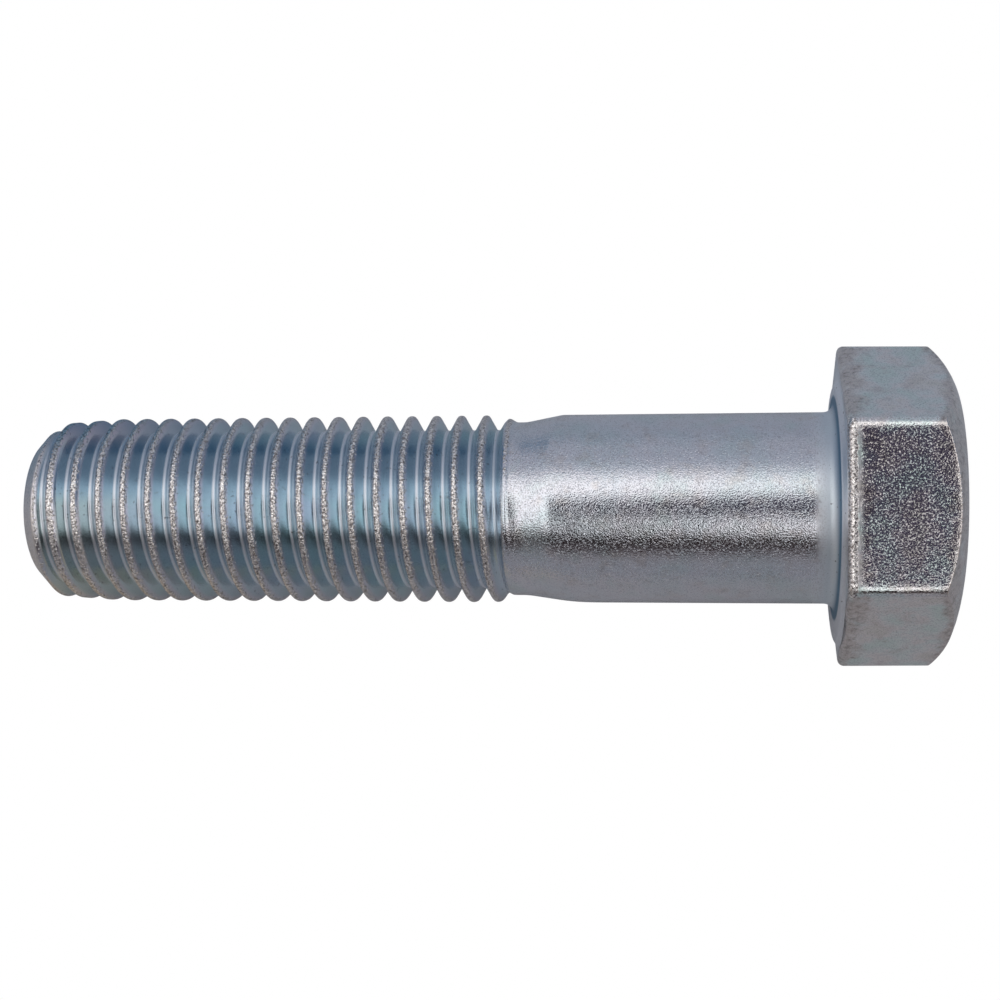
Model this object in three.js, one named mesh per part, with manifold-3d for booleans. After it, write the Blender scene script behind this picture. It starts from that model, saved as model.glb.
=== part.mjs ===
// A zinc plated hex bolt, 3/4-10 UNC x 3-1/4 in, forged and rolled from one piece of steel.
//
// Millimetres, +Z up. The bolt lies along X with its head at +X, and two of its wrench flats face
// up and down. The origin is the centre of the flat top of the head, so the whole bolt is at X < 0.

import * as THREE from 'three';
import { mergeVertices } from 'three/addons/utils/BufferGeometryUtils.js';
import Module from 'manifold-3d';

const wasm = await Module();
wasm.setup();

// ---- Driving dimensions ------------------------------------------------------------------------

const pitch = 2.54;              // 10 threads to the inch
const crestRadius = 9.45;        // outside of the thread
const shankRadius = 9.4;         // full shank under the head
const neckRadius = 8.69;         // blank diameter that the thread is rolled on

const lengthUnderHead = 80.4;
const headHeight = 11.3;
const acrossFlats = 27.5;
const cornerRounding = 1.2;      // radius on the six long edges of the head

const topCircleRadius = 11.1;    // flat circle left on top of the head
const domeStart = Math.PI / 15;  // slope of the domed chamfer where it leaves that circle
const domeEnd = Math.PI / 4.5;   // and its slope at the corners of the hexagon
const washerRadius = 13.1;       // washer face under the head, where it grows out of the hexagon
const washerBevel = 0.65;        // its bearing ring is this much smaller
const washerThickness = 0.35;
const filletRadius = 1.0;        // between the shank and the bearing face

const pointRadius = 7.16;        // flat end of the point, before its 45 degree chamfer
const lowCrest = 0.55;           // how far the thread's outside is down at the point
const lowCrestLength = 8.0;      // from the end to where the crests are full
const firstCrest = 1.01;         // from the end to the thread's crest, on the side facing up
const shankStart = 54.1;         // from the end to where the neck has reached the full shank
const neckStart = 49.75;         // from the end to where the thread has died out
const runout = 2.5;              // length over which the last crest sinks into the neck

const threadSteps = 36;          // facets to one turn of the thread
const roundSteps = 72;           // facets around the turned shapes

// ---- Places along the bolt ---------------------------------------------------------------------

const bearingX = -headHeight;
const pointX = bearingX - lengthUnderHead;
const neckX = pointX + neckStart;
const shankX = pointX + shankStart;
const cornerReach = acrossFlats / 2 / Math.cos(Math.PI / 6);

// ---- Thread form: 60 degree flanks, flat crests and wider flat roots ---------------------------

const crestFlat = pitch / 8;
const rootFlat = pitch / 5;
const threadDepth = (pitch - crestFlat - rootFlat) / 2 / Math.tan(Math.PI / 6);
const rootRadius = crestRadius - threadDepth;

// ---- Helpers -----------------------------------------------------------------------------------

// Turns a closed three.js geometry into a solid that can be joined and cut.
function solidFrom(geometry) {
  geometry.deleteAttribute('normal');
  geometry.deleteAttribute('uv');
  const merged = mergeVertices(geometry, 1e-5);
  const vertProperties = new Float32Array(merged.attributes.position.array);
  const triVerts = new Uint32Array(merged.index.array);
  return new wasm.Manifold(new wasm.Mesh({ numProp: 3, vertProperties, triVerts }));
}

// Turns a finished solid back into a geometry with flat facets.
function geometryFrom(solid) {
  const mesh = solid.getMesh();
  const geometry = new THREE.BufferGeometry();
  geometry.setAttribute('position', new THREE.BufferAttribute(mesh.vertProperties, 3));
  geometry.setIndex(new THREE.BufferAttribute(mesh.triVerts, 1));
  geometry.computeVertexNormals();
  return geometry;
}

// Spins an outline about X. Each point is [x, radius], and the outline runs from -X to +X.
function spun(outline) {
  const points = outline.map(([x, radius]) => new THREE.Vector2(radius, x));
  const geometry = new THREE.LatheGeometry(points, roundSteps);
  geometry.rotateZ(-Math.PI / 2);
  return solidFrom(geometry);
}

// ---- Thread ------------------------------------------------------------------------------------

// How much of the full thread form is left at x: all of it, then less and less over the runout.
function threadStrength(x) {
  const sunk = THREE.MathUtils.clamp((x - neckX + runout) / runout, 0, 1);
  return 1 - sunk * sunk;
}

// The outside of the thread at x. The first turns of a rolled thread are a little low.
function crestRadiusAt(x) {
  const low = Math.max(0, 1 - (x - pointX) / lowCrestLength);
  return crestRadius - lowCrest * low;
}

// A threaded rod that sticks out past the point and runs on into the neck. Each row of the mesh
// crosses one thread, from crest to root, and the rows wind up the rod as a right-hand helix.
function threadedRod() {
  const form = [
    [-crestFlat / 2, crestRadius],
    [crestFlat / 2, crestRadius],
    [(pitch - rootFlat) / 2, rootRadius],
    [(pitch + rootFlat) / 2, rootRadius],
  ];
  const perRow = form.length;
  const startX = pointX + firstCrest - 2 * pitch;
  const rows = Math.ceil((neckX + 2 * pitch - startX) / pitch * threadSteps);

  const positions = [];
  for (let row = 0; row <= rows; row++) {
    const turn = row / threadSteps;
    const angle = Math.PI / 2 + turn * 2 * Math.PI;
    for (const [offset, fullRadius] of form) {
      const x = startX + turn * pitch + offset;
      const formRadius = Math.min(fullRadius, crestRadiusAt(x));
      const radius = neckRadius + (formRadius - neckRadius) * threadStrength(x);
      positions.push(x, radius * Math.cos(angle), radius * Math.sin(angle));
    }
  }
  const startApex = positions.length / 3;
  positions.push(startX, 0, 0);
  const endApex = startApex + 1;
  positions.push(startX + rows / threadSteps * pitch, 0, 0);

  const index = [];
  const quad = (a, b, c, d) => index.push(a, c, b, b, c, d);
  for (let row = 0; row < rows; row++) {
    const here = row * perRow;
    const next = here + perRow;
    for (let i = 0; i < perRow - 1; i++) {
      quad(here + i, here + i + 1, next + i, next + i + 1);
    }
    if (row + 1 + threadSteps <= rows) {
      const turnAhead = threadSteps * perRow;
      quad(here + perRow - 1, here + turnAhead, next + perRow - 1, next + turnAhead);
    }
  }

  // Both ends close on the axis, with one turn of edges and one crossing of the thread form.
  const lastCorner = perRow - 1;
  for (let step = 0; step < threadSteps; step++) {
    const start = step * perRow;
    index.push(startApex, start + perRow, start);
    const end = (rows - step) * perRow + lastCorner;
    index.push(endApex, end - perRow, end);
  }
  const rowAfterTurn = threadSteps * perRow;
  const lastRow = rows * perRow;
  for (let i = 0; i < lastCorner; i++) {
    index.push(startApex, i, i + 1);
    index.push(endApex, lastRow + i + 1, lastRow + i);
  }
  index.push(startApex, lastCorner, rowAfterTurn);
  index.push(endApex, lastRow, lastRow - rowAfterTurn + lastCorner);

  const geometry = new THREE.BufferGeometry();
  geometry.setAttribute('position', new THREE.Float32BufferAttribute(positions, 3));
  geometry.setIndex(index);
  return solidFrom(geometry);
}

// The shape that trims the rod: a flat end and a 45 degree chamfer at the point.
function pointTrim() {
  const clear = crestRadius + 0.5;
  return spun([
    [pointX, 0],
    [pointX, pointRadius],
    [pointX + clear - pointRadius, clear],
    [shankX, clear],
    [shankX, 0],
  ]);
}

// ---- Neck, shank and head ----------------------------------------------------------------------

// The neck swells from the blank diameter to the full shank in a soft S.
function neckOutline() {
  const steps = 6;
  const points = [];
  for (let i = 0; i <= steps; i++) {
    const t = i / steps;
    const swell = (1 - Math.cos(Math.PI * t)) / 2;
    points.push([neckX + (shankX - neckX) * t, neckRadius + (shankRadius - neckRadius) * swell]);
  }
  return points;
}

// The fillet leaves the shank and meets the bearing face in a quarter circle.
function filletOutline() {
  const steps = 5;
  const points = [];
  for (let i = 0; i <= steps; i++) {
    const angle = i / steps * Math.PI / 2;
    const x = bearingX - filletRadius + filletRadius * Math.sin(angle);
    points.push([x, shankRadius + filletRadius * (1 - Math.cos(angle))]);
  }
  return points;
}

// The chamfer on top of the head is a little domed: shallow at the flat circle, steeper outwards.
function domeOutline() {
  const steps = 6;
  const clear = cornerReach + 0.5;
  const points = [];
  for (let i = steps; i >= 0; i--) {
    const out = (clear - topCircleRadius) * i / steps;
    const share = out / (cornerReach - topCircleRadius);
    const slope = Math.tan(domeStart) + (Math.tan(domeEnd) - Math.tan(domeStart)) * share / 2;
    points.push([-out * slope, topCircleRadius + out]);
  }
  return points;
}

// Everything turned: the neck, the shank, the bevelled washer face and the dome.
function turnedBlank() {
  const underX = bearingX + washerThickness;
  return spun([
    [neckX - 1.5, 0],
    [neckX - 1.5, neckRadius - 1.5],
    ...neckOutline(),
    ...filletOutline(),
    [bearingX, washerRadius - washerBevel],
    [underX, washerRadius],
    [underX, cornerReach + 0.5],
    ...domeOutline(),
    [0, 0],
  ]);
}

// A long hexagonal bar with rounded edges, with two flats facing +Z and -Z.
function hexBar() {
  const centreReach = cornerReach - cornerRounding / Math.cos(Math.PI / 6);
  const outline = new THREE.Shape();
  for (let corner = 0; corner < 6; corner++) {
    const angle = corner * Math.PI / 3;
    const x = centreReach * Math.cos(angle);
    const y = centreReach * Math.sin(angle);
    outline.absarc(x, y, cornerRounding, angle - Math.PI / 6, angle + Math.PI / 6, false);
  }
  const length = neckStart + lengthUnderHead;
  const geometry = new THREE.ExtrudeGeometry(outline, {
    depth: length,
    bevelEnabled: false,
    curveSegments: 4,
  });
  geometry.translate(0, 0, 1 - length);
  geometry.rotateZ(Math.PI / 2);
  geometry.rotateY(Math.PI / 2);
  return solidFrom(geometry);
}

// ---- The bolt ----------------------------------------------------------------------------------

function hexBolt() {
  const thread = threadedRod().intersect(pointTrim());
  const headAndShank = turnedBlank().intersect(hexBar());
  const steel = new THREE.MeshStandardMaterial({
    color: 0xa3adb5,
    roughness: 0.38,
    metalness: 1.0,
  });
  const bolt = new THREE.Mesh(geometryFrom(headAndShank.add(thread)), steel);
  bolt.name = 'hex_bolt';
  return bolt;
}

const part = new THREE.Group();
part.name = 'hex_bolt_assembly';
part.add(hexBolt());

export default part;
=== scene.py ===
"""A zinc plated hex bolt, lying on a white table and seen from above.

The bolt is one piece of steel, so it is one mesh. The script closes the point, winds the rolled
thread as a helical strip, spins the neck and shank, draws the chamfered hexagonal head, and joins
them into one closed skin. The bolt lies along X. Lengths are millimetres, and MM makes them metres.
"""

import math

import bpy
import numpy as np
from mathutils import Matrix, Vector


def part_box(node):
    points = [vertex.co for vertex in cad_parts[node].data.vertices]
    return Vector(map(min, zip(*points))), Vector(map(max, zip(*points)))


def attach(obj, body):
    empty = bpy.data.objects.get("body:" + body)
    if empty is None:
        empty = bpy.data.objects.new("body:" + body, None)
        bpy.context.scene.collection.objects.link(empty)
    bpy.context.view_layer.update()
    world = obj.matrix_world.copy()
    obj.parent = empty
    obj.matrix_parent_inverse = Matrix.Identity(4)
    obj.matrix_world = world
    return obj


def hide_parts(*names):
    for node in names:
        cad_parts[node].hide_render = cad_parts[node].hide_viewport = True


MM = 0.001

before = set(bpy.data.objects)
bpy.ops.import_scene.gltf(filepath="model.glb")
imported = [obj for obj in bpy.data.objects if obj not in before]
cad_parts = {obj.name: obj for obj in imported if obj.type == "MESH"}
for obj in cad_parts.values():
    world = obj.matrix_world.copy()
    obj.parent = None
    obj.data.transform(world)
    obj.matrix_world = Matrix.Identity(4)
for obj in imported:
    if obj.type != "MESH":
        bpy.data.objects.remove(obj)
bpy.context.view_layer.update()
node_low, node_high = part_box("hex_bolt")

# ---- Driving dimensions ---------------------------------------------------------------------------

POINT_X = node_low.x / MM
HALF_FLATS = node_high.z / MM

PITCH = 2.54
PITCH_RADIUS = 8.69
CREST_RADIUS = 9.45
ROOT_RADIUS = 7.92
SHANK_RADIUS = 9.4
NECK_RADIUS = 8.69

HEAD_HEIGHT = 11.3
DRAFT = 0.008               # the hexagon is this share smaller at the top than under the head
CORNER_ROUNDING = 1.2       # radius on the six long edges of the head
UNDER_EDGE = 0.62           # radius on the edge under the hexagon
TOP_EDGE = 0.22             # radius where the sides of the hexagon meet the dome
FILLET = 1.0
TOP_CIRCLE = 11.1           # flat circle on top, inside a domed chamfer
TOP_RIM = 0.5               # radius on the rim of that circle
DOME_START = math.radians(12)
DOME_END = math.radians(40)
WASHER_RADIUS = 13.1
WASHER_BEVEL = 0.65
WASHER_EDGE = 0.3           # radius where the bearing face meets that bevel
WASHER_THICKNESS = 0.35
BEARING_MIDDLE = 11.6       # circle on the bearing face, between the fillet and the bevel

# The forging dies were a little off centre: how far each part of the head sits towards +Y.
WASHER_OFF = -0.6
HEXAGON_OFF = 0.16
TOP_OFF = 0.72

POINT_RADIUS = 7.16
POINT_EDGE = 0.3            # radius on the rim of the flat end
CHAMFER_SOFTNESS = 0.12     # depth over which the thread is rounded into the chamfer
FIRST_CREST = 1.01          # from the end to the crest, on the side facing up
LOW_CREST = 0.55            # how far the thread's outside is down at the point
LOW_CREST_LENGTH = 8.0
CREST_SOFTNESS = 0.1        # depth over which the low crests are rounded off
ROLLED_FROM = (1.2, 1.9)    # from the end to where the rolls begin to touch, and touch fully
THREAD_TURNS = 20.3         # length of the threaded skin in pitches, a little more than the thread
NECK_START = 49.75          # from the end to where the thread has died out
CREST_RUNOUT = (2.98, 0.48)  # the last crest sinks between these distances before the neck
ROOT_RUNOUT = (2.35, 0.7)   # and the last root rises between these
SHANK_START = 54.65         # from the end to the corner where the full shank begins
SHANK_START_SLANT = (1.6, 0.65)  # that corner lies on a slanted circle: nearer the point at +Z, +Y
SHANK_CORNER = 0.16         # depth over which that corner is rounded
SHANK_CORNER_SLANT = (0.05, 0.125)  # it is sharper at +Z and at +Y by these

COLUMNS = 192               # steps around the bolt, 32 to each side of the hexagon

BEARING_X = -HEAD_HEIGHT
UNDER_X = BEARING_X + WASHER_THICKNESS
FILLET_X = BEARING_X - FILLET
FIRST_CREST_X = POINT_X + FIRST_CREST
NECK_X = POINT_X + NECK_START


# ---- Small numeric helpers ------------------------------------------------------------------------

def smooth_step(low, high, value):
    t = np.clip((value - low) / (high - low), 0.0, 1.0)
    return t * t * (3.0 - 2.0 * t)


def soft_min(a, b, width):
    """The lower of a and b, with the corner between them rounded over width."""
    overlap = np.maximum(width - np.abs(a - b), 0.0) / width
    return np.minimum(a, b) - overlap * overlap * width / 4.0


def turned(x, radius, turn):
    """Places on the bolt: turn 0 faces up, and x along a crest grows with turn."""
    angle = turn * 2.0 * np.pi
    y = -radius * np.sin(angle)
    z = radius * np.cos(angle)
    return np.stack(np.broadcast_arrays(x, y, z), axis=-1)


# ---- Shape of the threaded length -----------------------------------------------------------------

# Crests and roots are arcs that touch the flanks, which are 60 degrees steep against the axis.
FLANK_ANGLE = math.radians(60)
FLANK_SLOPE = math.tan(FLANK_ANGLE)
SHARP_TOP = PITCH_RADIUS + PITCH / 4 * FLANK_SLOPE
SHARP_BOTTOM = PITCH_RADIUS - PITCH / 4 * FLANK_SLOPE
CREST_ARC = SHARP_TOP - CREST_RADIUS
ROOT_ARC = ROOT_RADIUS - SHARP_BOTTOM
CREST_HALF = CREST_ARC * math.sin(FLANK_ANGLE)
ROOT_HALF = ROOT_ARC * math.sin(FLANK_ANGLE)


def from_crest(x, turn):
    """Distance along X to the nearest crest."""
    return np.abs((x - FIRST_CREST_X - PITCH * turn + PITCH / 2) % PITCH - PITCH / 2)


def thread_form(gap):
    """Radius of the full thread at a distance from its crest: two flanks and two arcs."""
    flank = PITCH_RADIUS + (PITCH / 4 - gap) * FLANK_SLOPE
    crest = CREST_RADIUS - CREST_ARC + np.sqrt(np.maximum(CREST_ARC**2 - gap**2, 0.0))
    from_root = PITCH / 2 - gap
    root = ROOT_RADIUS + ROOT_ARC - np.sqrt(np.maximum(ROOT_ARC**2 - from_root**2, 0.0))
    form = np.where(gap < CREST_HALF, crest, flank)
    return np.where(from_root < ROOT_HALF, root, form)


def shank_corner(turn):
    """X of the corner between neck and shank, which slants a little around the bolt."""
    nearer_up, nearer_across = SHANK_START_SLANT
    angle = 2.0 * np.pi * turn
    return POINT_X + SHANK_START - nearer_up * np.cos(angle) + nearer_across * np.sin(angle)


def neck_form(x, turn):
    """Radius of the unthreaded neck: a waist after the thread, then a cone up to the shank."""
    rise = np.maximum(x - NECK_X, 0.0) / (shank_corner(turn) - NECK_X)
    bend = 0.22
    climb = np.where(rise < bend, rise**2 / (2 * bend), rise - bend / 2) / (1 - bend / 2)
    cone = NECK_RADIUS + (SHANK_RADIUS - NECK_RADIUS) * climb
    sharper_up, sharper_across = SHANK_CORNER_SLANT
    angle = 2.0 * np.pi * turn
    softness = SHANK_CORNER + sharper_across * np.sin(angle) - sharper_up * np.cos(angle)
    return soft_min(cone, SHANK_RADIUS, softness)


def threaded_radius(x, turn):
    """Radius anywhere on the threaded length, how strong the thread is there, and how close the
    place is to the edge of the chamfer at the point."""
    form = thread_form(from_crest(x, turn))
    low = np.clip(1.0 - (x - POINT_X) / LOW_CREST_LENGTH, 0.0, 1.0)
    form = soft_min(form, CREST_RADIUS - LOW_CREST * low, CREST_SOFTNESS)

    neck = neck_form(x, turn)
    sinks, sunk_away = CREST_RUNOUT
    rises, risen = ROOT_RUNOUT
    sunk = np.clip((x - NECK_X + sinks) / (sinks - sunk_away), 0.0, 1.0)
    crest_share = 1.0 - sunk**2
    root_share = 1.0 - smooth_step(NECK_X - rises, NECK_X - risen, x)
    share = np.where(form > neck, crest_share, root_share)
    radius = neck + (form - neck) * share

    chamfer = POINT_RADIUS + (x - POINT_X)
    edge_width = 0.45
    chamfer_edge = np.clip(1.3 - np.abs(chamfer - radius - 0.05) / edge_width, 0.0, 1.0)
    return soft_min(radius, chamfer, CHAMFER_SOFTNESS), share, chamfer_edge


def thread_marks(x, turn, share, chamfer_edge):
    """How torn, how burnished and how near a root each place is. The rolls never touch a crest."""
    gap = from_crest(x, turn)
    begins, fully = ROLLED_FROM
    rolled = smooth_step(POINT_X + begins, POINT_X + fully, x)
    on_crest = np.clip(1.0 - gap / (2 * CREST_HALF), 0.0, 1.0) * np.clip(share * 2.5, 0, 1)
    torn = np.maximum(on_crest * rolled, chamfer_edge * 0.6)
    burnished = rolled * np.clip(share * 2, 0, 1)
    root = np.clip(1.0 - (PITCH / 2 - gap) / ROOT_HALF, 0.0, 1.0) * burnished
    return torn, burnished, root


# ---- Shape of the head ----------------------------------------------------------------------------

def hexagon_radius(angle):
    """Distance from the axis to the rounded hexagon, at an angle from the middle of a flat."""
    off_flat = abs((angle + math.pi / 6) % (math.pi / 3) - math.pi / 6)
    corner = math.pi / 6
    centre = (HALF_FLATS - CORNER_ROUNDING) / math.cos(corner)
    arc_starts = math.atan2(centre * math.sin(corner), HALF_FLATS)
    if off_flat < arc_starts:
        return HALF_FLATS / math.cos(off_flat)
    off_corner = corner - off_flat
    across = centre * math.sin(off_corner)
    return centre * math.cos(off_corner) + math.sqrt(CORNER_ROUNDING**2 - across**2)


def head_turns():
    """Turns around the head, close together at the six corners and wider on the flats."""
    per_side = COLUMNS // 6
    steps = np.linspace(-1.0, 1.0, per_side + 1)[:-1]
    crowding = 0.38
    within = steps * (1 - crowding) + crowding * np.sin(steps * math.pi / 2)
    return np.concatenate([(side + within / 2) / 6 for side in range(6)])


def rounded_corner(before, corner, after, radius, steps):
    """Points of an arc that rounds the corner of an outline."""
    corner = np.array(corner, float)
    back = np.array(before, float) - corner
    ahead = np.array(after, float) - corner
    back_length = np.hypot(*back)
    ahead_length = np.hypot(*ahead)
    back /= back_length
    ahead /= ahead_length
    half = math.acos(np.clip(back @ ahead, -1.0, 1.0)) / 2
    most = 0.45             # the arc uses up at most this share of either side
    cut = min(radius / math.tan(half), most * back_length, most * ahead_length)
    start = corner + back * cut
    end = corner + ahead * cut
    centre = corner + (back + ahead) / np.hypot(*(back + ahead)) * cut / math.cos(half)
    points = []
    for i in range(steps + 1):
        t = i / steps
        outward = start * (1 - t) + end * t - centre
        points.append(centre + outward / np.hypot(*outward) * cut * math.tan(half))
    return points


def dome_depth(radius):
    """How far the domed chamfer lies below the flat top at a radius."""
    out = radius - TOP_CIRCLE
    corner_out = HALF_FLATS / math.cos(math.pi / 6) - TOP_CIRCLE
    steepening = (math.tan(DOME_END) - math.tan(DOME_START)) / 2
    return out * (math.tan(DOME_START) + steepening * out / corner_out)


def head_place(x, radius, off=0.0, torn=0.0, burnished=0.0, margin=0.0):
    """One point of the head's outline: its place, how far it sits off centre, how torn and how
    burnished it is, and how close to the margin of a side."""
    return x, radius, off, torn, burnished, margin


def fillet_places():
    """A quarter circle from the shank to the bearing face."""
    steps = 8
    places = []
    for i in range(steps + 1):
        angle = i / steps * math.pi / 2
        x = FILLET_X + FILLET * math.sin(angle)
        radius = SHANK_RADIUS + FILLET * (1 - math.cos(angle))
        places.append(head_place(x, radius, burnished=1))
    return places


def washer_places():
    """The bearing face, the bevel of the washer face, and the corner under the hexagon."""
    middle = (BEARING_X, BEARING_MIDDLE)
    bevel_start = (BEARING_X, WASHER_RADIUS - WASHER_BEVEL)
    bevel_end = (UNDER_X, WASHER_RADIUS)
    places = [head_place(*middle, off=0.3 * WASHER_OFF, burnished=1)]
    for x, radius in rounded_corner(middle, bevel_start, bevel_end, WASHER_EDGE, 3):
        places.append(head_place(x, radius, off=WASHER_OFF, burnished=1))

    # Two rings close together, one on each side of the corner under the hexagon, keep it crisp.
    for inward, outward in ((0.03, -0.05), (0.0, 0.03)):
        place = head_place(UNDER_X - inward, WASHER_RADIUS + outward, off=WASHER_OFF, burnished=1)
        places.append(place)
    return places


def side_places(start, top):
    """Straight up the side of the hexagon, with a margin at either end."""
    lower_margin = 0.28
    upper_margin = 0.18
    places = []
    for share in (0.05, 0.1, 0.18, 0.3, 0.45, 0.6, 0.75, 0.86, 0.94):
        x = start[0] + (top[0] - start[0]) * share
        radius = start[1] + (top[1] - start[1]) * share
        margin = max(1 - share / lower_margin, 1 - (1 - share) / upper_margin, 0)
        places.append(head_place(x, radius, off=HEXAGON_OFF, margin=margin))
    return places


def top_places(dome, top_side):
    """The dome, the softened rim of the flat circle and the circle itself, which sit further off
    centre the further in they are."""
    points = dome + rounded_corner(dome[-1], (0.0, TOP_CIRCLE), (0.0, 0.0), TOP_RIM, 3)
    points += [(0.0, TOP_CIRCLE * share) for share in (0.93, 0.75, 0.5, 0.25, 0.08)]
    places = []
    for x, radius in points:
        inward = (top_side - max(radius, TOP_CIRCLE)) / (top_side - TOP_CIRCLE)
        off = HEXAGON_OFF + (TOP_OFF - HEXAGON_OFF) * inward
        places.append(head_place(x, radius, off=off, margin=1 - 0.4 * inward))
    return places


def head_outline(hexagon):
    """The outline of the head from the shank's fillet to the middle of the top, in a direction
    where the side of the hexagon is this far from the axis."""
    top_side = hexagon * (1 - DRAFT)
    under_corner = (UNDER_X, hexagon)
    top_corner = (-dome_depth(top_side), top_side)
    dome = []
    for share in (0.85, 0.6, 0.35, 0.15):
        radius = TOP_CIRCLE + (top_side - TOP_CIRCLE) * share
        dome.append((-dome_depth(radius), radius))

    outline = fillet_places() + washer_places()
    for x, radius in rounded_corner((UNDER_X, hexagon - 2), under_corner, top_corner, UNDER_EDGE, 8):
        outline.append(head_place(x, radius, off=HEXAGON_OFF, torn=1, margin=1))
    side_start = outline[-1][:2]
    outline += side_places(side_start, top_corner)
    for x, radius in rounded_corner(side_start, top_corner, dome[0], TOP_EDGE, 4):
        outline.append(head_place(x, radius, off=HEXAGON_OFF, torn=0.4, margin=1))
    return outline + top_places(dome, top_side)


# ---- One closed skin ------------------------------------------------------------------------------

EVEN_TURNS = np.arange(COLUMNS) / COLUMNS
HEAD_TURNS = head_turns()


class Skin:
    """Collects vertices with their marks, and faces, in millimetres."""

    def __init__(self):
        self.points = []
        self.faces = []
        self.marks = {"torn": [], "burnished": [], "root": [], "margin": []}

    def add(self, point, **marks):
        self.points.append(tuple(point))
        for name, values in self.marks.items():
            values.append(marks.get(name, 0.0))
        return len(self.points) - 1

    def ring(self, places, **marks):
        """Adds a ring of vertices. Each mark has one value for every place."""
        ring = []
        for i, place in enumerate(places):
            ring.append(self.add(place, **{name: values[i] for name, values in marks.items()}))
        return ring

    def grow(self, ring, places, **marks):
        """Adds a further ring, joins it to the one before, and returns it."""
        further = self.ring(places, **marks)
        for i in range(len(ring)):
            j = (i + 1) % len(ring)
            self.faces.append((ring[i], ring[j], further[j], further[i]))
        return further

    def close(self, ring, centre, at_start):
        """Closes one end of the skin on a vertex at its centre."""
        middle = self.add(centre)
        for i in range(len(ring)):
            j = (i + 1) % len(ring)
            edge = (ring[j], ring[i]) if at_start else (ring[i], ring[j])
            self.faces.append((middle, *edge))


def build_point(skin, end_x):
    """The flat end, its rounded rim and the start of the chamfer, up to the ring at end_x."""
    rim = (POINT_X, POINT_RADIUS)
    chamfer_end = (end_x, POINT_RADIUS + end_x - POINT_X)
    outline = [(POINT_X, POINT_RADIUS * share) for share in (0.08, 0.3, 0.6, 0.88)]
    outline += rounded_corner((POINT_X, 0.0), rim, chamfer_end, POINT_EDGE, 4)
    outline.append(chamfer_end)
    circles = [turned(x, radius, EVEN_TURNS) for x, radius in outline]
    ring = skin.ring(circles[0])
    skin.close(ring, (POINT_X, 0, 0), at_start=True)
    for circle in circles[1:]:
        ring = skin.grow(ring, circle)
    return ring


def form_columns():
    """Where each column of the thread strip lies, as a share of one pitch from its near edge."""
    arc = np.sin(np.radians([20, 40, 60]))
    flank_middle = PITCH / 4
    half = [*(CREST_ARC * arc), flank_middle, *(PITCH / 2 - ROOT_ARC * arc)]
    offsets = np.array([0.0, PITCH / 2, *half, *(-h for h in half)])
    return np.sort((offsets + flank_middle) % PITCH) / PITCH


def wind_thread(skin, first_ring, start_x):
    """Winds the thread strip from first_ring, and returns the plain ring that it ends in.

    Each row of the strip crosses one pitch, and ends on the near edge of the row one turn on. The
    strip grows from nothing over its first turn and shrinks to nothing over its last, so both of
    its ends are plain circles: one at start_x and one THREAD_TURNS pitches further on.
    """
    shares = form_columns()
    regular_rows = round(THREAD_TURNS * COLUMNS)
    rows = regular_rows + COLUMNS
    row = np.arange(rows + 1)
    far = start_x + PITCH * np.minimum(row, regular_rows) / COLUMNS
    near = start_x + PITCH * np.maximum(row - COLUMNS, 0) / COLUMNS
    turn = (row / COLUMNS)[:, None]
    x = near[:, None] + (far - near)[:, None] * shares[None, :]
    radius, share, chamfer_edge = threaded_radius(x, turn)
    torn, burnished, root = thread_marks(x, turn, share, chamfer_edge)
    places = turned(x, radius, turn)

    # The near edge of the first turn is first_ring, and both ends of the strip are one vertex.
    table = np.empty((rows + 1, len(shares)), int)
    table[0, :] = first_ring[0]
    for r in range(1, rows):
        for c in range(len(shares)):
            if c == 0 and r <= COLUMNS:
                table[r, c] = first_ring[r % COLUMNS]
            else:
                marks = {"torn": torn[r, c], "burnished": burnished[r, c], "root": root[r, c]}
                table[r, c] = skin.add(places[r, c], **marks)
    end_x = far[-1]
    end_ring = skin.ring(turned(end_x, threaded_radius(end_x, EVEN_TURNS)[0], EVEN_TURNS))
    table[rows, :] = end_ring[rows % COLUMNS]

    def far_edge(r):
        if r == 0:
            return first_ring[0]
        if r < regular_rows:
            return table[r + COLUMNS, 0]
        return end_ring[r % COLUMNS]

    # Where the strip is narrowing to nothing, a face can have three corners or none.
    for r in range(rows):
        here = [*table[r], far_edge(r)]
        ahead = [*table[r + 1], far_edge(r + 1)]
        for c in range(len(shares)):
            corners = dict.fromkeys((here[c], ahead[c], ahead[c + 1], here[c + 1]))
            if len(corners) > 2:
                skin.faces.append(tuple(corners))
    return end_ring


def build_neck_and_shank(skin, ring, start_x):
    """From the end of the thread to the fillet, where the columns have drifted from even spacing
    to the head's spacing."""
    corner = shank_corner(EVEN_TURNS)
    for share in (0.35, 0.65, 0.85, 0.94, 0.98, 1.0):
        x = start_x + (corner - start_x) * share
        ring = skin.grow(ring, turned(x, neck_form(x, EVEN_TURNS), EVEN_TURNS))
    for share in (0.004, 0.012, 0.03, *np.linspace(0.08, 0.96, 22)):
        turn = EVEN_TURNS + (HEAD_TURNS - EVEN_TURNS) * smooth_step(0.1, 0.9, share)
        x = corner + (FILLET_X - corner) * share
        ring = skin.grow(ring, turned(x, neck_form(x, turn), turn))
    return ring


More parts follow.
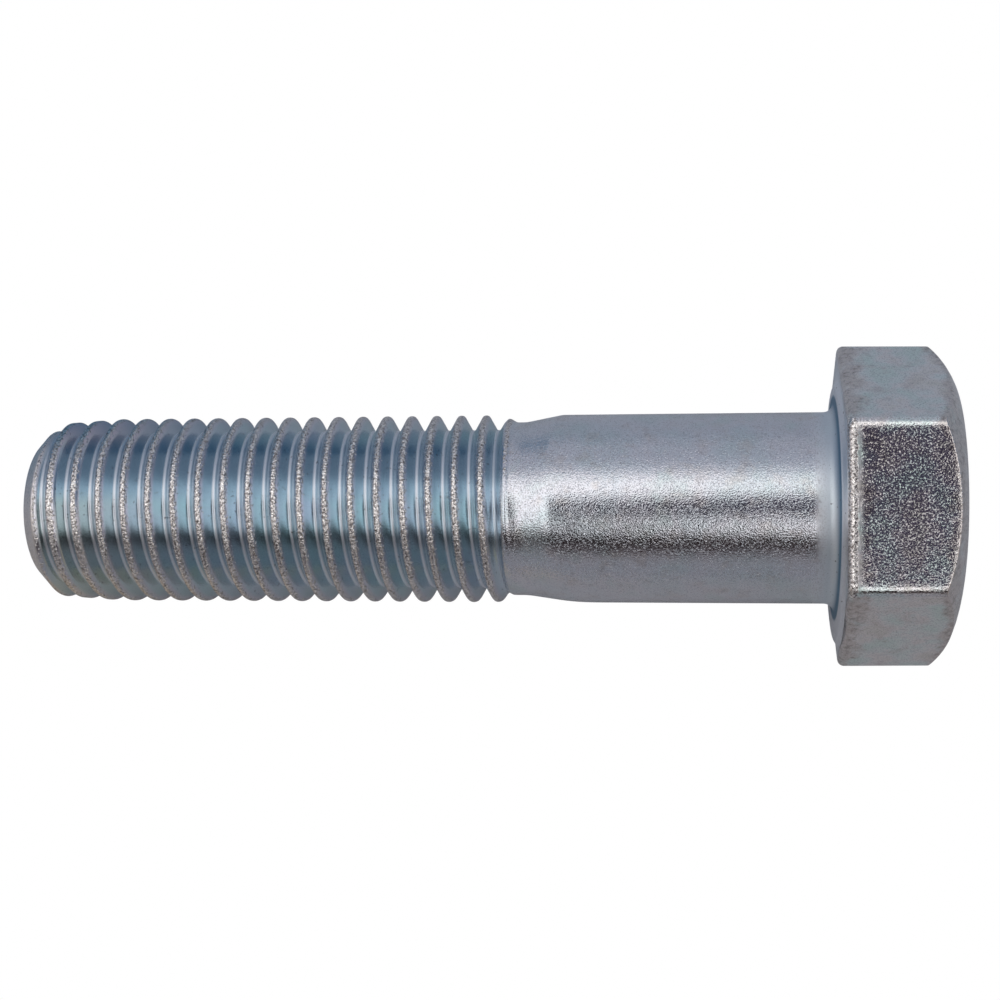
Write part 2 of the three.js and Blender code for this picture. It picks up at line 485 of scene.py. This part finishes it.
def build_head(skin, ring):
    """The same outline in every column, further out at the corners of the hexagon.

    Only the flats that face up and down have torn edges, and their margin nearest the shank is
    paler.
    """
    angles = HEAD_TURNS * 2 * np.pi
    outlines = [head_outline(hexagon_radius(angle)) for angle in angles]
    facing_up = smooth_step(0.8, 0.9, np.abs(np.cos(angles)))
    pale_height = 1.6       # how far up the side of the head that paler margin reaches
    for level in zip(*outlines):
        x, radius, off, torn, burnished, margin = np.array(level).T
        places = turned(x, radius, HEAD_TURNS)
        places[:, 1] += off
        paler = facing_up * np.where(x < BEARING_X + pale_height, 0.7, 0.0)
        ring = skin.grow(ring, places, torn=torn * facing_up, burnished=burnished,
                         root=margin * paler, margin=margin * (1 - paler))
    skin.close(ring, (0, TOP_OFF, 0), at_start=False)


def build_skin():
    skin = Skin()
    thread_start = FIRST_CREST_X - PITCH / 4
    thread_end = thread_start + PITCH * THREAD_TURNS
    ring = build_point(skin, thread_start)
    ring = wind_thread(skin, ring, thread_start)
    ring = build_neck_and_shank(skin, ring, thread_end)
    build_head(skin, ring)
    return skin


def build_bolt():
    skin = build_skin()
    mesh = bpy.data.meshes.new("hex_bolt_steel")
    mesh.from_pydata((np.array(skin.points) * MM).tolist(), [], skin.faces)
    for name, values in skin.marks.items():
        mark = mesh.attributes.new(name, "FLOAT", "POINT")
        mark.data.foreach_set("value", np.array(values, np.float32))
    mesh.shade_smooth()
    mesh.update()
    bolt = bpy.data.objects.new("hex_bolt_steel", mesh)
    bpy.context.scene.collection.objects.link(bolt)
    return bolt


# ---- Node helpers ---------------------------------------------------------------------------------

class Nodes:
    """A short way to write a node tree: each call adds nodes and returns an output."""

    def __init__(self, tree):
        self.tree = tree
        self.tree.nodes.clear()

    def add(self, kind, **settings):
        node = self.tree.nodes.new(kind)
        for key, value in settings.items():
            setattr(node, key, value)
        return node

    def put(self, socket, value):
        if isinstance(value, bpy.types.NodeSocket):
            self.tree.links.new(value, socket)
        else:
            socket.default_value = value

    def split(self, vector):
        """The X, Y and Z of a vector."""
        node = self.add("ShaderNodeSeparateXYZ")
        self.put(node.inputs[0], vector)
        return node.outputs

    def math(self, operation, *values, clamp=False):
        node = self.add("ShaderNodeMath", operation=operation, use_clamp=clamp)
        for socket, value in zip(node.inputs, values):
            self.put(socket, value)
        return node.outputs[0]

    def fade(self, value, low, high):
        """0 at low and 1 at high, smoothly."""
        node = self.add("ShaderNodeMapRange", interpolation_type="SMOOTHSTEP")
        self.put(node.inputs["Value"], value)
        node.inputs["From Min"].default_value = low
        node.inputs["From Max"].default_value = high
        return node.outputs["Result"]

    def fade_mm(self, length, low, high):
        """The same for a length, with low and high in millimetres."""
        return self.fade(length, low * MM, high * MM)

    def mix(self, share, a, b):
        node = self.add("ShaderNodeMix", data_type="RGBA")
        self.put(node.inputs["Factor"], share)
        self.put(node.inputs[6], a)
        self.put(node.inputs[7], b)
        return node.outputs[2]

    def mix_value(self, share, a, b):
        node = self.add("ShaderNodeMix", data_type="FLOAT")
        self.put(node.inputs["Factor"], share)
        self.put(node.inputs[2], a)
        self.put(node.inputs[3], b)
        return node.outputs[0]

    def ramp(self, value, stops):
        node = self.add("ShaderNodeValToRGB")
        self.put(node.inputs["Fac"], value)
        elements = node.color_ramp.elements
        while len(elements) < len(stops):
            elements.new(0.5)
        for element, (place, colour) in zip(elements, stops):
            element.position = place
            element.color = (*colour, 1.0)
        return node.outputs["Color"]

    def noise(self, place, size, detail=2.0, roughness=0.5):
        """Noise in 0..1 with features about size millimetres across."""
        node = self.add("ShaderNodeTexNoise")
        self.put(node.inputs["Vector"], place)
        node.inputs["Scale"].default_value = 1 / (MM * size)
        node.inputs["Detail"].default_value = detail
        node.inputs["Roughness"].default_value = roughness
        return node.outputs["Fac"]


# ---- Material -------------------------------------------------------------------------------------

# Linear colours of the plating, and two colours of painted light: a dark blue of painted shade in
# the fillet, and a deeper blue of painted reflection in a band along the +Y side of the thread.
PALE_RUST = (0.62, 0.575, 0.56, 1)
DARK_RUST = (0.30, 0.26, 0.245, 1)
WARM_ZINC = (0.86, 0.78, 0.75, 1)
PALE_ZINC = (0.78, 0.81, 0.87, 1)
BEARING_ZINC = (0.76, 0.80, 0.85, 1)
ROOT_ZINC = (0.70, 0.74, 0.82, 1)
# painted shade: the dark blue of the fillet, in the crease under the head
PAINTED_FILLET_SHADE = (0.13, 0.25, 0.37, 1)
GREEN_BLUE = (0.53, 0.60, 0.595, 1)
# painted reflection: the deeper blue of a band along the +Y side of the thread
REFLECTION_BLUE = (0.42, 0.53, 0.615, 1)
MAUVE = (0.66, 0.60, 0.69, 1)
PINK = (0.86, 0.62, 0.70, 1)
DULL_SPECK = (0.33, 0.33, 0.36, 1)
DARK_DOT = (0.14, 0.14, 0.16, 1)


class Zones:
    """Where the shader is on the bolt, and masks from 0 to 1 for the places that look different."""

    def __init__(self, n):
        self.place = n.add("ShaderNodeTexCoord").outputs["Object"]
        along, across, up = n.split(self.place)
        from_axis = n.math("SQRT", n.math("MULTIPLY_ADD", across, across, n.math("MULTIPLY", up, up)))
        torn, burnished, self.root, self.margin = [
            n.add("ShaderNodeAttribute", attribute_name=name).outputs["Fac"]
            for name in ("torn", "burnished", "root", "margin")]

        # Torn crests have a ragged edge, and a smooth shoulder on either side.
        self.shoulder = n.fade(torn, 0.05, 0.45)
        ragged = n.math("MULTIPLY_ADD", n.noise(self.place, 0.33), 1.2, -0.6)
        self.torn = n.fade(n.math("ADD", torn, ragged), 0.40, 0.56)
        self.burnished = n.math("SUBTRACT", burnished, self.torn, clamp=True)

        # The head, and what lies under it: the end of the shank, the fillet and the bearing face.
        self.head = n.fade_mm(along, BEARING_X, BEARING_X + 0.6)
        self.shank_end = n.math("SUBTRACT", n.fade_mm(along, FILLET_X - 1.8, FILLET_X - 0.3), self.head)
        past_fillet = n.fade_mm(from_axis, SHANK_RADIUS + 1.4, SHANK_RADIUS + 1.8)
        past_shank = n.fade_mm(from_axis, SHANK_RADIUS + 0.07, SHANK_RADIUS + 0.8)
        self.bearing = n.math("MULTIPLY", past_fillet, self.burnished)
        self.fillet = n.math("MULTIPLY", n.math("SUBTRACT", past_shank, past_fillet), self.burnished)

        # The waist of the neck, and the chamfer at the point.
        self.neck = n.math("SUBTRACT", n.fade_mm(along, NECK_X - 1.0, NECK_X + 0.3),
                           n.fade_mm(along, NECK_X + 1.8, NECK_X + 3.6))
        self.chamfer = n.math("MULTIPLY", n.fade_mm(along, POINT_X + 2.2, POINT_X + 1.4),
                              n.fade_mm(from_axis, POINT_RADIUS - 0.4, POINT_RADIUS))

        # The film on the thread is greener towards the point. A deeper blue band along the +Y side is
        # painted reflection of the dim blue surroundings on that side. Beyond that band it is pink near
        # the point.
        self.near_point = n.fade_mm(along, POINT_X + 20.0, POINT_X + 3.0)
        self.painted_reflection_band = n.math("SUBTRACT", n.fade_mm(across, 0.3, 2.6), n.fade_mm(across, 6.0, 7.4))
        self.pink = n.math("MULTIPLY", self.near_point, n.fade_mm(across, 5.5, 8.5))


def matt_colour(n, on, film):
    """Drawn and forged surfaces: faintly stained, and browner along the margins of the head."""
    drawn = n.ramp(film, [
        (0.34, (0.60, 0.68, 0.73)),
        (0.46, (0.66, 0.70, 0.77)),
        (0.56, (0.69, 0.70, 0.77)),
        (0.68, (0.62, 0.69, 0.73)),
    ])
    forged = n.ramp(n.noise(on.place, 3.4, 4.0, 0.6), [
        (0.36, (0.64, 0.76, 0.75)),
        (0.47, (0.71, 0.77, 0.79)),
        (0.56, (0.77, 0.75, 0.77)),
        (0.66, (0.70, 0.69, 0.67)),
    ])
    stain = n.noise(on.place, 1.9, 4.0, 0.62)
    stained = n.math("MULTIPLY", n.fade(stain, 0.50, 0.70), 0.45)
    patchy = n.math("MULTIPLY_ADD", on.margin, 0.5, n.math("MULTIPLY", stain, 1.3))
    rusty = n.math("MULTIPLY", n.fade(patchy, 0.80, 1.15), 0.85)
    rust = n.mix(n.fade(n.noise(on.place, 0.55, 3.0, 0.6), 0.45, 0.70), PALE_RUST, DARK_RUST)
    colour = n.mix(on.head, drawn, forged)
    colour = n.mix(n.math("MAXIMUM", stained, rusty), colour, rust)
    return n.mix(on.chamfer, colour, WARM_ZINC)


def rolled_colour(n, on, film):
    """Flanks and roots of the thread: blue, with mauve shoulders beside the torn crests."""
    colour = n.ramp(film, [
        (0.35, (0.46, 0.61, 0.67)),
        (0.50, (0.48, 0.595, 0.67)),
        (0.65, (0.50, 0.59, 0.69)),
    ])
    colour = n.mix(n.math("MULTIPLY", on.near_point, 0.65), colour, GREEN_BLUE)
    # Painted reflection: the band along the +Y side is made a deeper blue.
    colour = n.mix(on.painted_reflection_band, colour, REFLECTION_BLUE)
    colour = n.mix(n.math("MULTIPLY", on.shoulder, 0.6), colour, MAUVE)
    colour = n.mix(n.math("MULTIPLY", on.pink, 0.6), colour, PINK)
    return n.mix(on.root, colour, ROOT_ZINC)


def torn_colour(n, on):
    """Bright and dark grains of torn metal."""
    return n.ramp(n.noise(on.place, 0.21, 2.0, 0.6), [
        (0.38, (0.20, 0.18, 0.18)),
        (0.45, (0.56, 0.54, 0.54)),
        (0.56, (0.70, 0.68, 0.685)),
        (0.65, (1.00, 0.98, 0.97)),
    ])


def plating_colour(n, on):
    """A film of uneven thickness, which dull specks and a few dark dots break up, with painted shade in
    the fillet.
    """
    film = n.noise(on.place, 5.0, 4.0, 0.55)
    colour = n.mix(on.burnished, matt_colour(n, on, film), rolled_colour(n, on, film))
    colour = n.mix(on.bearing, colour, BEARING_ZINC)
    colour = n.mix(n.math("MULTIPLY", on.shank_end, 0.6), colour, PALE_ZINC)
    # Painted shade: the fillet under the head is coloured dark blue.
    colour = n.mix(on.fillet, colour, PAINTED_FILLET_SHADE)
    specks = n.fade(n.noise(on.place, 0.15, 2.0, 0.6), 0.44, 0.72)
    specks = n.math("MULTIPLY", specks, n.mix_value(on.burnished, 0.6, 0.12))
    colour = n.mix(specks, colour, DULL_SPECK)
    dots = n.fade(n.noise(on.place, 0.30, 0.0), 0.78, 0.83)
    dots = n.math("MULTIPLY", n.math("MULTIPLY", dots, on.burnished), 0.7)
    colour = n.mix(dots, colour, DARK_DOT)
    return n.mix(on.torn, colour, torn_colour(n, on))


def plating_relief(n, on):
    """Fine grain and small pits, deepest on torn metal and nearly gone where it is burnished."""
    grain = n.math("MULTIPLY", n.noise(on.place, 0.145, 1.0, 0.5), 0.62)
    pits = n.fade(n.noise(on.place, 0.18, 1.0, 0.5), 0.60, 0.70)
    relief = n.math("SUBTRACT", grain, n.math("MULTIPLY", pits, 0.34))
    smooth = n.math("MULTIPLY", on.burnished, 0.95)
    for zone, smoothness in ((on.shank_end, 0.75), (on.head, 0.3), (on.root, 0.7)):
        smooth = n.math("MAXIMUM", smooth, n.math("MULTIPLY", zone, smoothness))
    depth = n.math("ADD", on.torn, n.math("SUBTRACT", 1.0, smooth))
    bump = n.add("ShaderNodeBump")
    bump.inputs["Strength"].default_value = 1.0
    bump.inputs["Distance"].default_value = 0.046 * MM
    n.put(bump.inputs["Height"], n.math("MULTIPLY", relief, depth))
    return bump.outputs["Normal"]


def plating_roughness(n, on):
    """Lowest on the shank and head, where the grain already scatters the light."""
    roughness = n.mix_value(n.math("MULTIPLY", on.neck, 0.3), 0.13, 0.34)
    for zone, value in ((on.chamfer, 0.40), (on.burnished, 0.21), (on.root, 0.40),
                        (on.shank_end, 0.5), (on.torn, 0.18)):
        roughness = n.mix_value(zone, roughness, value)
    return roughness


def zinc_plated_steel():
    """Bright zinc with a clear blue passivate over forged, drawn and rolled steel."""
    material = bpy.data.materials.new("zinc_plated_steel")
    material.use_nodes = True
    n = Nodes(material.node_tree)
    on = Zones(n)
    shader = n.add("ShaderNodeBsdfPrincipled")
    shader.inputs["Metallic"].default_value = 1.0
    n.put(shader.inputs["Base Color"], plating_colour(n, on))
    n.put(shader.inputs["Roughness"], plating_roughness(n, on))
    n.put(shader.inputs["Normal"], plating_relief(n, on))
    output = n.add("ShaderNodeOutputMaterial")
    n.put(output.inputs["Surface"], shader.outputs[0])
    return material


# ---- Surroundings ---------------------------------------------------------------------------------

def by_angle(stops):
    """Ramp stops from a list of (degrees, colour), where 0 is straight up and 90 is towards +Y."""
    return [((degrees + 180) / 360, colour) for degrees, colour in stops]


def overhead_light(n, share):
    """A wide soft panel above the bolt, dark just past its -Y edge and dim past its +Y edge."""
    return n.ramp(share, by_angle([
        (-95, (0.24, 0.245, 0.27)),
        (-75, (0.29, 0.29, 0.31)),
        (-59, (0.26, 0.25, 0.26)),
        (-53, (0.16, 0.14, 0.14)),
        (-47, (0.02, 0.012, 0.012)),
        (-33, (0.02, 0.012, 0.012)),
        (-28, (1.34, 1.31, 1.28)),
        (20, (1.42, 1.39, 1.35)),
        (35, (1.36, 1.33, 1.29)),
        (41, (0.76, 0.77, 0.80)),
        (50, (0.52, 0.54, 0.59)),
        (62, (0.42, 0.435, 0.49)),
        (95, (0.42, 0.44, 0.49)),
    ]))


def dim_sides(n, share):
    """Past both ends of the bolt: brightest overhead, warm low down towards -Y, dim and blue
    towards +Y."""
    return n.ramp(share, by_angle([
        (-100, (0.38, 0.32, 0.26)),
        (-86, (0.22, 0.20, 0.18)),
        (-76, (0.13, 0.12, 0.12)),
        (-60, (0.20, 0.185, 0.185)),
        (-38, (0.68, 0.66, 0.63)),
        (-14, (0.92, 0.82, 0.79)),
        (5, (0.76, 0.75, 0.78)),
        (26, (0.28, 0.335, 0.42)),
        (46, (0.135, 0.185, 0.255)),
        (62, (0.155, 0.22, 0.295)),
        (90, (0.14, 0.195, 0.27)),
    ]))


def horizon(n, y):
    """The lowest directions: warm on the far -Y side, grey in between and blue towards +Y."""
    grey_side = n.mix(n.fade(y, -0.45, -0.1), (0.38, 0.32, 0.25, 1), (0.40, 0.40, 0.43, 1))
    return n.mix(n.fade(y, 0.1, 0.4), grey_side, (0.14, 0.205, 0.30, 1))


def blocked(n, x, angle, at_x, at_degrees, half_x, half_degrees):
    """1 inside a soft, rather square patch of directions, and 0 outside it."""
    along = n.math("DIVIDE", n.math("SUBTRACT", x, at_x), half_x)
    across = n.math("DIVIDE", n.math("SUBTRACT", angle, math.radians(at_degrees)),
                    math.radians(half_degrees))
    reach = n.math("ADD", n.math("POWER", n.math("ABSOLUTE", along), 4.0),
                   n.math("MULTIPLY", across, across))
    return n.math("SUBTRACT", 1.0, n.fade(reach, 0.6, 1.4))


def studio_surroundings():
    """A soft overhead light with the photographer in its middle, dim sides, and a white backdrop."""
    world = bpy.data.worlds.new("studio")
    bpy.context.scene.world = world
    world.use_nodes = True
    n = Nodes(world.node_tree)
    x, y, z = n.split(n.add("ShaderNodeTexCoord").outputs["Generated"])

    # Angle around the bolt's axis. Towards the point, the pattern of light leans to one side.
    angle = n.math("ARCTAN2", y, z)
    lean = n.math("MULTIPLY", n.math("MINIMUM", n.math("ADD", x, 0.45), 0.0), 0.71)
    share = n.math("MULTIPLY_ADD", n.math("ADD", angle, lean), 1 / (2 * math.pi), 0.5)
    outward = n.fade(n.math("ABSOLUTE", x), 0.62, 0.76)
    low = n.math("SUBTRACT", 1.0, n.fade(z, 0.05, 0.25))
    light = n.mix(outward, overhead_light(n, share), dim_sides(n, share))
    light = n.mix(n.math("MULTIPLY", low, outward), light, horizon(n, y))

    camera_shadow = blocked(n, x, angle, at_x=0.04, at_degrees=2.5, half_x=0.27, half_degrees=11.0)
    arm_shadow = blocked(n, x, angle, at_x=-0.14, at_degrees=-20.0, half_x=0.12, half_degrees=19.0)
    body_shadow = blocked(n, x, angle, at_x=0.21, at_degrees=4.5, half_x=0.125, half_degrees=19.0)
    light = n.mix(camera_shadow, light, (0.05, 0.045, 0.065, 1))
    light = n.mix(arm_shadow, light, (0.02, 0.018, 0.02, 1))
    light = n.mix(body_shadow, light, (0.045, 0.035, 0.07, 1))

    seen = n.add("ShaderNodeLightPath").outputs["Is Camera Ray"]
    background = n.add("ShaderNodeBackground")
    n.put(background.inputs["Color"], n.mix(seen, light, (1.0, 1.0, 1.0, 1)))
    output = n.add("ShaderNodeOutputWorld")
    n.put(output.inputs["Surface"], background.outputs[0])


def resting_plane():
    """Height of the table at x = 0 and its slope, where the bolt lies on its head and its point."""
    head_x = BEARING_X + 0.4
    head_z = -HALF_FLATS
    point_x = POINT_X + LOW_CREST_LENGTH
    point_z = -CREST_RADIUS
    slope = (point_z - head_z) / (point_x - head_x)
    return head_z - slope * head_x, slope


def painted_table_light(n):
    """Painted light on the table, seen only in the bolt's reflections: grey, darker towards -Y where
    the table gets less light, and bluer towards +Y. A patch past the point is warm on one side, deep
    blue on the other, and fades back to grey further out on the warm side."""
    x, y, _ = n.split(n.add("ShaderNodeTexCoord").outputs["Object"])
    # Painted shade: darker towards -Y, where less light falls on the table.
    grey = n.mix(n.fade_mm(y, -50, 50), (0.455, 0.45, 0.465, 1), (0.50, 0.55, 0.63, 1))
    # Painted light: a warm patch and a deep blue patch past the point stand in for the surroundings.
    patch = n.mix(n.fade_mm(y, -30, 5), (0.58, 0.50, 0.40, 1), (0.15, 0.27, 0.40, 1))
    further_out = n.math("MULTIPLY", n.fade_mm(x, -120, -135), n.fade_mm(y, 30, 10))
    past_point = n.math("MULTIPLY", n.fade_mm(x, -60, -95), n.math("SUBTRACT", 1.0, further_out))
    return n.mix(past_point, grey, patch)


def white_table():
    """Lit like paper, but plain white wherever the camera sees it, like the backdrop."""
    material = bpy.data.materials.new("white_table")
    material.use_nodes = True
    n = Nodes(material.node_tree)
    paper = n.add("ShaderNodeBsdfDiffuse")
    n.put(paper.inputs["Color"], painted_table_light(n))
    white = n.add("ShaderNodeEmission")
    seen = n.add("ShaderNodeLightPath").outputs["Is Camera Ray"]
    choice = n.add("ShaderNodeMixShader")
    n.put(choice.inputs[0], seen)
    n.put(choice.inputs[1], paper.outputs[0])
    n.put(choice.inputs[2], white.outputs[0])
    output = n.add("ShaderNodeOutputMaterial")
    n.put(output.inputs["Surface"], choice.outputs[0])
    return material


def table():
    """A wide table top under the bolt."""
    height, slope = resting_plane()
    reach = 900.0
    corners = []
    for x, y in ((-reach, -reach), (reach, -reach), (reach, reach), (-reach, reach)):
        corners.append((x * MM, y * MM, (height + slope * x) * MM))
    mesh = bpy.data.meshes.new("table_top")
    mesh.from_pydata(corners, [], [(0, 1, 2, 3)])
    mesh.materials.append(white_table())
    top = bpy.data.objects.new("table_top", mesh)
    bpy.context.scene.collection.objects.link(top)


# ---- Camera ---------------------------------------------------------------------------------------

CAMERA_PLACE = (-22.97, 0.88, 160.01)
CAMERA_PAN = math.radians(7.60)
CAMERA_ROLL = 0.0033
CAMERA_LENS = 57.54         # on a sensor 36 wide


def camera():
    """Above the bolt and a little to the head's side of its middle, turned towards the point."""
    level_right = Vector((math.cos(CAMERA_PAN), 0.0, -math.sin(CAMERA_PAN)))
    level_up = Vector((0.0, 1.0, 0.0))
    back = Vector((math.sin(CAMERA_PAN), 0.0, math.cos(CAMERA_PAN)))
    right = level_right * math.cos(CAMERA_ROLL) - level_up * math.sin(CAMERA_ROLL)
    up = level_up * math.cos(CAMERA_ROLL) + level_right * math.sin(CAMERA_ROLL)
    data = bpy.data.cameras.new("camera")
    data.sensor_width = 36.0
    data.lens = CAMERA_LENS
    data.clip_start = 0.01
    view = bpy.data.objects.new("camera", data)
    bpy.context.scene.collection.objects.link(view)
    axes = Matrix((right, up, back)).transposed().to_4x4()
    view.matrix_world = Matrix.Translation(Vector(CAMERA_PLACE) * MM) @ axes
    bpy.context.scene.camera = view


# ---- Scene ----------------------------------------------------------------------------------------

bolt = build_bolt()
bolt.data.materials.append(zinc_plated_steel())
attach(bolt, "root")
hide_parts("hex_bolt")

studio_surroundings()
table()
camera()
bpy.context.scene.view_settings.view_transform = "Standard"
